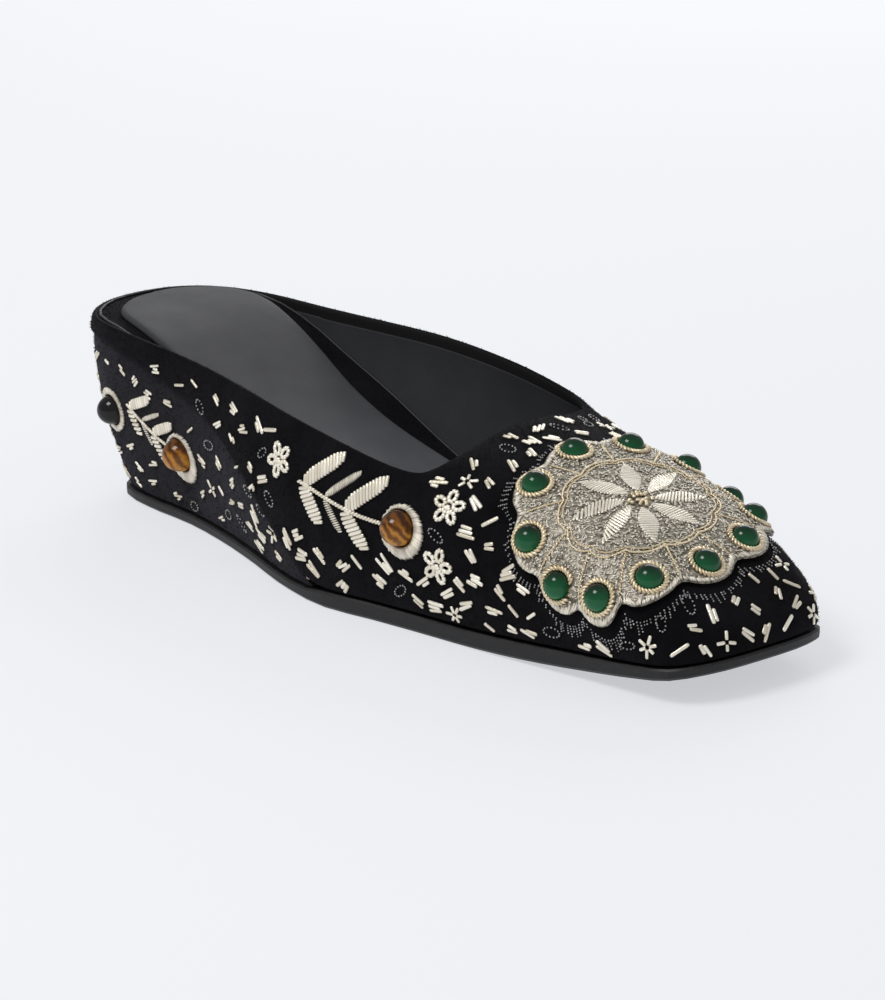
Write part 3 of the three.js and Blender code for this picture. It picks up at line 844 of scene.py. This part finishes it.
def flower(purls, seat, petals, reach):
    """A small flower of looped petals round a knot."""
    spin = draw.uniform(0, math.pi)
    for k in range(petals):
        turn = spin + 2 * math.pi * k / petals
        middle = Vector((reach * LOOP_OUT * math.cos(turn), reach * LOOP_OUT * math.sin(turn)))
        ahead = Vector((math.cos(turn), math.sin(turn)))
        aside = Vector((-ahead.y, ahead.x))
        loop = []
        for step in range(LOOP_STITCHES):
            bend = 2 * math.pi * step / LOOP_STITCHES
            spot = middle + ahead * (reach * LOOP_LONG * math.cos(bend))
            spot = spot + aside * (reach * LOOP_WIDE * math.sin(bend))
            loop.append((spot.x, spot.y))
        tone = tone_near(0.8, 0.15)
        for start, end in zip(loop, loop[1:] + loop[:1]):
            stitch_on(purls, seat, start, end, STITCH_WIDE * 1.05, STITCH_TALL * 1.3, tone)
    for place in KNOT_PLACES:
        bead_on(purls, seat, place, KNOT_BEAD, 0.9)


def spray(purls, seat, arms, reach):
    """Short straight stitches that fan from one place."""
    spin = draw.uniform(0, 2 * math.pi)
    for k in range(arms):
        turn = spin + 2 * math.pi * k / arms + draw.uniform(-0.2, 0.2)
        far = reach * draw.uniform(*SPRAY_UNEVEN)
        near = reach * SPRAY_START
        stitch_on(purls, seat, (near * math.cos(turn), near * math.sin(turn)),
                  (far * math.cos(turn), far * math.sin(turn)),
                  STITCH_WIDE * 0.8, STITCH_TALL, tone_near(0.8, 0.2))


def dashes(purls, seat, count, size):
    """One to three short lengths of coiled thread side by side."""
    for k in range(count):
        length = draw.uniform(*DASH_LONG) * MM * size
        shift = (draw.uniform(-DASH_SLIDE, DASH_SLIDE) * MM, (k - (count - 1) / 2) * DASH_APART * MM * size)
        tilt = draw.uniform(-DASH_TILT, DASH_TILT) * length
        stitch_on(purls, seat, (shift[0] - length / 2, shift[1] - tilt / 2),
                  (shift[0] + length / 2, shift[1] + tilt / 2),
                  STITCH_WIDE * size * draw.uniform(0.8, 1.05), STITCH_TALL, tone_near(0.7, 0.3))


def bead_loop(beads, seat):
    """A little oval of seed beads."""
    long_radius = draw.uniform(*LOOP_LONG_RADIUS) * MM
    wide_radius = draw.uniform(*LOOP_WIDE_RADIUS) * MM
    around = math.pi * (long_radius + wide_radius)
    for place in ring_places(long_radius, wide_radius, int(around / (SEED_BEAD * LOOP_SPACING))):
        bead_on(beads, seat, place, SEED_BEAD, tone_near(0.3, 0.2))


# The medallion

class Medallion:
    """Places on the medallion by angle and radius, worked out over the curve of the vamp."""

    def __init__(self, vamp, top):
        low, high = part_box("medallion")
        self.vamp = vamp
        self.top = top
        self.middle = (low.x + high.x) / 2
        self.long = (high.x - low.x) / 2
        self.columns = []
        self.stations = np.linspace(low.x - COLUMN_ROOM, high.x + COLUMN_ROOM, COLUMNS)
        for x in self.stations:
            self.columns.append(self.column(vamp, x))

    def column(self, vamp, x):
        """The vamp's outline across the shoe: distances along it from its middle, and places."""
        axis = Vector((x, 0.0, COLUMN_HIGH))
        spots = []
        for degrees in range(-COLUMN_SPAN, COLUMN_SPAN + 1, COLUMN_STEP):
            turn = math.radians(degrees)
            out = Vector((0, math.sin(turn), math.cos(turn)))
            point, _, hit = vamp.from_outside(axis + out * COLUMN_FAR, -out)
            if hit:
                spots.append(point)
        spots = np.array(spots)
        arcs = np.concatenate([[0], np.cumsum(np.linalg.norm(np.diff(spots, axis=0), axis=1))])
        arcs -= np.interp(0.0, spots[:, 1], arcs)
        return arcs, spots

    def on_vamp(self, x, distance):
        place = np.interp(x, self.stations, np.arange(len(self.stations)))
        first = min(int(place), len(self.stations) - 2)
        part = place - first
        spot = np.zeros(3)
        for column, share in ((first, 1 - part), (first + 1, part)):
            arcs, spots = self.columns[column]
            spot += share * np.array([np.interp(distance, arcs, spots[:, k]) for k in range(3)])
        return Vector(spot)

    def edge(self, angle, radius):
        scallop = abs(math.cos(angle * LOBES / 2)) ** LOBE_ROUND
        return 1 - LOBE_DEPTH * (1 - scallop * min(radius, 1.0))

    def beside(self, angle, radius):
        """A place on the velvet, under the medallion or next to it."""
        reach = radius * self.edge(angle, radius)
        spot = self.on_vamp(self.middle + self.long * reach * math.cos(angle),
                            MEDALLION_SIDE + MEDALLION_WIDE * reach * math.sin(angle))
        return self.vamp.nearest(spot)

    def place(self, angle, radius):
        """A place on the face of the medallion."""
        spot, outwards = self.beside(angle, radius)
        return self.top.nearest(spot + outwards * 3 * MM)

    def path(self, radius, count):
        turns = [2 * math.pi * i / count for i in range(count + 1)]
        return [self.place(turn, radius) for turn in turns]

    def line(self, angle, start, end, count):
        return [self.place(angle, start + (end - start) * i / count) for i in range(count + 1)]


def clear_of_stones(place, stones, room):
    return all((place - stone).length > room for stone in stones)


def satin_edge(medallion, fine):
    """Close stitches over the scalloped edge."""
    for k in range(EDGE_STITCHES):
        angle = 2 * math.pi * k / EDGE_STITCHES
        sway = draw.uniform(-EDGE_SWAY, EDGE_SWAY)
        inner, normal = medallion.place(angle + sway, draw.uniform(*EDGE_INNER))
        outer, _ = medallion.place(angle, draw.uniform(*EDGE_OUTER))
        stitch(fine, inner, outer, normal, FINE_WIDE * 1.1, FINE_TALL * 1.6, tone_near(0.6, 0.4))


def satin_petal(medallion, purls, angle):
    """One petal of the rosette, of stitches laid across it."""
    for row in range(PETAL_ROWS):
        part = (row + 0.5) / PETAL_ROWS
        radius = PETAL_START + PETAL_LONG * part
        half = PETAL_WIDE * math.sin(math.pi * (0.1 + 0.85 * part)) / (radius / 0.32 + 0.25)
        start, normal = medallion.place(angle - half, radius - PETAL_SLANT)
        end, _ = medallion.place(angle + half, radius + PETAL_SLANT)
        stitch(purls, start, end, normal, STITCH_WIDE * 0.62, STITCH_TALL * 0.9, tone_near(0.82, 0.15))


def seed_stitch(medallion, stones, seeds):
    """One short stitch anywhere on the medallion, turned any way, unless a stone is there."""
    angle = draw.uniform(0, 2 * math.pi)
    radius = math.sqrt(draw.uniform(*SEED_FIELD))
    point, normal = medallion.place(angle, radius)
    if not clear_of_stones(point, stones, SEED_CLEAR):
        return
    heading = draw.uniform(0, 2 * math.pi)
    along = Vector((math.cos(heading), math.sin(heading), 0.1))
    along = (along - normal * along.dot(normal)).normalized()
    half = along * (draw.uniform(*SEED_HALF) * MM)
    stitch(seeds, point - half, point + half, normal, SEED_WIDE, SEED_TALL, tone_near(0.7, 0.4))


def dress_medallion(medallion, stones, fine, seeds, purls, gold, beads):
    """Satin edge, twisted outlines, petals round the middle and seed stitches between."""
    satin_edge(medallion, fine)
    twist(gold, medallion.path(OUTER_LINE, OUTER_LINE_TURNS), CORD_WIDE, 0.75)
    twist(gold, medallion.path(INNER_LINE, INNER_LINE_TURNS), CORD_WIDE * 0.8, 0.5)
    for k in range(LOBES):
        angle = 2 * math.pi * (k + 0.5) / LOBES
        twist(gold, medallion.line(angle, SPOKE_START, SPOKE_END, SPOKE_TURNS), CORD_WIDE * 0.85, 0.6)
    for k in range(PETALS):
        satin_petal(medallion, purls, 2 * math.pi * k / PETALS + math.pi / PETALS)
    for _ in range(MIDDLE_BEADS):
        angle = draw.uniform(0, 2 * math.pi)
        point, normal = medallion.place(angle, MIDDLE_REACH * math.sqrt(draw.random()))
        size = (MIDDLE_BEAD,) * 3
        beads.put(point + normal * 0.3 * MM, Vector((1, 0, 0)), normal, size, tone_near(0.8, 0.2))
    for _ in range(SEED_STITCHES):
        seed_stitch(medallion, stones, seeds)


def fringe_medallion(medallion, beads):
    """Rows of dots that stand out from the medallion's edge over the velvet."""
    size = (FRINGE_BEAD,) * 3
    for k in range(FRINGE_RAYS):
        angle = 2 * math.pi * (k + draw.uniform(0.3, 0.7)) / FRINGE_RAYS
        for row in range(draw.randint(*FRINGE_DOTS)):
            radius = FRINGE_START + FRINGE_STEP * row
            point, normal = medallion.beside(angle + draw.uniform(-FRINGE_SWAY, FRINGE_SWAY), radius)
            point = point + normal * FRINGE_BEAD * 0.5
            beads.put(point, Vector((1, 0, 0.01)), normal, size, tone_near(0.4, 0.4))


# Stones

def box_middle(node):
    low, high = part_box(node)
    return (low + high) / 2


def dome(work, seat, radius, tall):
    """A polished dome whose flat back is sunk a little into its seat."""
    turn = Matrix((seat.along, seat.across, seat.normal)).transposed().to_4x4()
    place = Matrix.Translation(seat.point) @ turn @ Matrix.Diagonal((radius, radius, tall, 1))
    made = bmesh.ops.create_uvsphere(work, u_segments=32, v_segments=20, radius=1, matrix=place)
    corners = made["verts"]
    edges = {edge for corner in corners for edge in corner.link_edges}
    faces = {face for corner in corners for face in corner.link_faces}
    cut = seat.point - seat.normal * tall * STONE_SUNK
    halved = bmesh.ops.bisect_plane(work, geom=[*corners, *edges, *faces], plane_co=cut,
                                    plane_no=seat.normal, clear_inner=True)
    rim = [part for part in halved["geom_cut"] if isinstance(part, bmesh.types.BMEdge)]
    bmesh.ops.edgeloop_fill(work, edges=rim)


def make_stones(name, nodes, seats, radius, tall, slot, finish):
    work = bmesh.new()
    for seat in seats:
        dome(work, seat, radius, tall)
    bmesh.ops.recalc_face_normals(work, faces=work.faces)
    # Painted glow: each corner's share grows towards GLOW_SIDE, lighting that side of its stone in the
    # colour.
    glow = work.verts.layers.float.new("glow")
    for corner in work.verts:
        seat = min(seats, key=lambda each: (corner.co - each.point).length)
        corner[glow] = 0.5 + 0.5 * (corner.co - seat.point).dot(GLOW_SIDE) / radius
    piece = show(to_mesh(work, name, STONE_SHARP), name, slot, finish)
    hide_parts(*nodes)
    return piece


# The scattered field of small motifs

def field_candidates(pieces, density):
    """Evenly spread places on the velvet outside of the shoe, in a drawn order."""
    spots = []
    for piece in pieces:
        mesh = piece.data
        mesh.calc_loop_triangles()
        corners = np.array([vertex.co for vertex in mesh.vertices])
        triangles = [t for t in mesh.loop_triangles if t.material_index == 0]
        areas = np.array([t.area for t in triangles])
        ends = np.cumsum(areas)
        for _ in range(int(density * ends[-1])):
            t = triangles[int(np.searchsorted(ends, draw.uniform(0, ends[-1])))]
            u = math.sqrt(draw.random())
            v = draw.random()
            a, b, c = (corners[i] for i in t.vertices)
            spots.append((Vector(a * (1 - u) + b * (u * (1 - v)) + c * (u * v)), t.normal.copy()))
    draw.shuffle(spots)
    return spots


def scatter_field(upper, wedge, topline, skin, outsole, medal, taken, purls, beads):
    """Dashes, bead loops and sprays wherever the velvet is bare."""
    laid = list(taken)
    for place, normal in field_candidates((upper, wedge), FIELD_DENSITY):
        if normal.z < LOWEST_FACING:
            continue
        if outsole.gap(place) < SOLE_CLEAR or medal.gap(place) < MEDALLION_CLEAR:
            continue
        kind = draw.choice(FIELD_KINDS)
        reach = FIELD_ROOM[kind] + (WEDGE_ROOM if place.x < WEDGE_END else 0)
        rim_gap = topline.find(place)[2]
        if rim_gap < (HEEL_CLEAR if place.x < HEEL_FIELD else RIM_CLEAR):
            continue
        if any((place - other).length < reach + other_reach for other, other_reach in laid):
            continue
        laid.append((place, reach))
        heading = Vector((1, draw.uniform(-0.9, 0.9), draw.uniform(-1.1, 1.1)))
        seat = Seat(skin, place, heading)
        if kind == "dash":
            dashes(purls, seat, draw.choice(DASH_COUNTS), 1.0 if place.x > WEDGE_END else WEDGE_SIZE)
        elif kind == "loop":
            bead_loop(beads, seat)
        else:
            spray(purls, seat, draw.choice(SPRAY_ARMS), SPRAY_REACH)


def make_embroidery(upper, wedge, topline, outsole, medallion_piece):
    """All the thread work and stones, each kind of thread joined into one piece."""
    skin = Surface(upper, wedge)
    sole = Surface(outsole)
    medal = Surface(medallion_piece)
    purls = ThreadWork(PURL)
    fine = ThreadWork(SMALL_BEAD)
    seeds = ThreadWork(SEED_STITCH)
    gold = ThreadWork(SMALL_BEAD)
    cords = ThreadWork(SMALL_BEAD)
    beads = ThreadWork(SMALL_BEAD)
    gold_beads = ThreadWork(SMALL_BEAD)

    medallion = Medallion(skin, medal)
    green_seats = [Seat(medal, box_middle(node), Vector((1, 0, 0))) for node in GREEN_STONES]
    stones = [seat.point for seat in green_seats]
    for seat in green_seats:
        coiled_ring(gold, seat, GREEN_RADIUS + COIL_MIDDLE, COIL_WIDE, 0.75)
    dress_medallion(medallion, stones, fine, seeds, purls, gold, gold_beads)
    fringe_medallion(medallion, beads)

    taken = []
    brown_seats = []
    sprigs = (FRONT_SPRIG, FRONT_SPRIG, BACK_SPRIG, BACK_SPRIG)
    for node, (heading, length, leaf) in zip(BROWN_STONES, sprigs):
        seat = Seat(skin, box_middle(node), heading)
        brown_seats.append(seat)
        downwards = -1 if seat.across.z > 0 else 1
        shift = (-BROWN_RING_AHEAD, downwards * BROWN_RING_LOWER)
        satin_ring(fine, seat, BROWN_RADIUS, BROWN_RADIUS + BROWN_RING, shift, 0.7)
        sprig(purls, fine, cords, seat, length, leaf)
        taken.append((seat.point, BROWN_ROOM))
        for part in SPRIG_PARTS:
            taken.append((seat.lay(length * part, 0)[0], leaf * LEAF_ROOM))
    for seat in brown_seats[:2]:
        up = 1 if seat.across.z > 0 else -1
        for along, above in FLOWER_PLACES:
            spot, _ = seat.lay(along, above * up)
            flower(purls, Seat(skin, spot, seat.along), FLOWER_PETALS, FLOWER_REACH)
            taken.append((spot, FLOWER_REACH))
    dark_seat = Seat(skin, box_middle("dark_stone"), Vector((0, 1, 0.3)))
    satin_ring(fine, dark_seat, DARK_RADIUS, DARK_RADIUS + DARK_RING, (0, 0), 0.7)
    taken.append((dark_seat.point, DARK_ROOM))

    scatter_field(upper, wedge, topline, skin, sole, medal, taken, purls, beads)

    purls.join("laid_purls", "thread", PALE_THREAD)
    fine.join("satin_stitches", "thread", FINE_THREAD)
    seeds.join("seed_stitches", "thread", FINE_THREAD)
    gold.join("gold_twist", "thread", GOLD_THREAD)
    cords.join("sprig_stems", "thread", PALE_THREAD)
    beads.join("seed_beads", "thread", BEAD_SILVER)
    gold_beads.join("gold_beads", "thread", GOLD_THREAD)

    make_stones("green_stones", GREEN_STONES, green_seats, GREEN_RADIUS, GREEN_TALL,
                "green_stone", GREEN_STONE)
    make_stones("brown_stones", BROWN_STONES, brown_seats, BROWN_RADIUS, BROWN_TALL,
                "brown_stone", BROWN_STONE)
    make_stones("dark_heel_stone", ["dark_stone"], [dark_seat], DARK_RADIUS, DARK_TALL,
                "dark_stone", DARK_STONE)


# Small finishes on the velvet

def make_lining_bead(footbed):
    """A thin leather bead where the lining meets the footbed."""
    work = bmesh.new()
    work.from_mesh(footbed.data)
    work.normal_update()
    bead = ThreadWork(PURL)
    for edge in work.edges:
        ups = sorted(face.normal.z for face in edge.link_faces)
        first, last = (corner.co for corner in edge.verts)
        if ups[-1] < BEAD_TOP_FACING or ups[0] > BEAD_SIDE_FACING:
            continue
        if (first - last).length < BEAD_EDGE_SHORTEST:
            continue
        along = (last - first) * BEAD_OVERLAP
        upward = Vector((0, 0, 1)) - along * (along.z / along.length_squared)
        middle = (first + last) / 2
        stitch(bead, middle - along, middle + along, upward.normalized(), BEAD_WIDE, BEAD_TALL, 0.5)
    work.free()
    finish, _, _ = new_finish("dark_bead", Base_Color=(0.010, 0.010, 0.011, 1), Roughness=0.55)
    bead.join("lining_bead", "sock_leather", finish)


def make_pile(name, pieces, count, finish):
    """Short fibres that stand out of the velvet, as thin three-sided spikes."""
    chance = np.random.default_rng(PILE_SEED)
    corners = []
    for piece in pieces:
        mesh = piece.data
        mesh.calc_loop_triangles()
        spots = np.array([vertex.co for vertex in mesh.vertices])
        corners.append(spots[[list(t.vertices) for t in mesh.loop_triangles if t.material_index == 0]])
    corners = np.concatenate(corners)
    a, b, c = corners[:, 0], corners[:, 1], corners[:, 2]
    normals = np.cross(b - a, c - a)
    areas = np.linalg.norm(normals, axis=1) / 2
    normals = normals / np.maximum(2 * areas, 1e-12)[:, None]
    areas[normals[:, 2] < PILE_LOWEST] = 0
    picked = chance.choice(len(areas), count, p=areas / areas.sum())
    u = np.sqrt(chance.random((count, 1)))
    v = chance.random((count, 1))
    roots = a[picked] * (1 - u) + b[picked] * (u * (1 - v)) + c[picked] * (u * v)
    out = normals[picked]
    lean = out + chance.normal(0, PILE_SPREAD, (count, 3)) + PILE_LEAN
    lean = lean / np.linalg.norm(lean, axis=1)[:, None]
    side = np.cross(out, lean + np.array([0.001, 0.002, 0.003]))
    side = side / np.linalg.norm(side, axis=1)[:, None]
    ahead = np.cross(out, side)
    length = PILE_LONG * chance.uniform(*PILE_UNEVEN, (count, 1))
    points = [
        roots + side * PILE_THICK,
        roots - side * PILE_THICK * 0.5 + ahead * PILE_THICK,
        roots - side * PILE_THICK * 0.5 - ahead * PILE_THICK,
        roots + lean * length,
    ]
    points = np.stack(points, axis=1).reshape(-1, 3)
    starts = np.arange(count)[:, None] * 4
    faces = np.concatenate([starts + np.array(face) for face in FIBRE_FACES])
    mesh = bpy.data.meshes.new(name)
    mesh.from_pydata(points.tolist(), [], faces.tolist())
    show(mesh, name, "velvet", finish)


# Floor, light and camera

def make_floor():
    work = bmesh.new()
    bmesh.ops.create_grid(work, x_segments=1, y_segments=1, size=FLOOR_HALF)
    mesh = to_mesh(work, "floor")
    finish, _, _ = new_finish("pale_floor", Base_Color=(0.345, 0.35, 0.36, 1), Roughness=0.9,
                              Specular_IOR_Level=0.1, Emission_Color=(0.975, 0.99, 1.03, 1),
                              Emission_Strength=0.545)
    mesh.materials.append(finish)
    floor = bpy.data.objects.new("floor", mesh)
    bpy.context.scene.collection.objects.link(floor)


def aim(thing, place, target):
    thing.location = place
    thing.rotation_euler = (target - place).to_track_quat("-Z", "Y").to_euler()


def add_softbox(name, place, size, power):
    lamp = bpy.data.lights.new(name, "AREA")
    lamp.shape = "RECTANGLE"
    lamp.size, lamp.size_y = size
    lamp.energy = power
    softbox = bpy.data.objects.new(name, lamp)
    bpy.context.scene.collection.objects.link(softbox)
    aim(softbox, Vector(place), LIGHT_TARGET)


def make_light():
    world = bpy.data.worlds.new("studio")
    bpy.context.scene.world = world
    world.use_nodes = True
    room = world.node_tree.nodes["Background"]
    room.inputs["Color"].default_value = ROOM_COLOUR
    room.inputs["Strength"].default_value = ROOM_STRENGTH
    add_softbox("key_softbox", *KEY_SOFTBOX)
    add_softbox("back_softbox", *BACK_SOFTBOX)


def make_camera():
    lens = bpy.data.cameras.new("camera")
    lens.sensor_fit = "HORIZONTAL"
    lens.sensor_width = PICTURE_WIDTH
    lens.lens = CAMERA_LENS
    camera = bpy.data.objects.new("camera", lens)
    bpy.context.scene.collection.objects.link(camera)
    aim(camera, CAMERA_PLACE, CAMERA_TARGET)
    bpy.context.scene.camera = camera
    bpy.context.scene.view_settings.view_transform = "Standard"


upper_piece, topline = make_upper()
wedge_piece = make_wedge()
outsole_piece = make_outsole()
footbed_piece = make_footbed()
make_sock()
medallion_ground = make_medallion()
make_embroidery(upper_piece, wedge_piece, topline, outsole_piece, medallion_ground)
make_lining_bead(footbed_piece)
make_pile("velvet_pile", (upper_piece, footbed_piece), UPPER_PILE, VELVET)
make_pile("wedge_pile", (wedge_piece,), WEDGE_PILE, WEDGE_VELVET)
make_floor()
make_light()
make_camera()
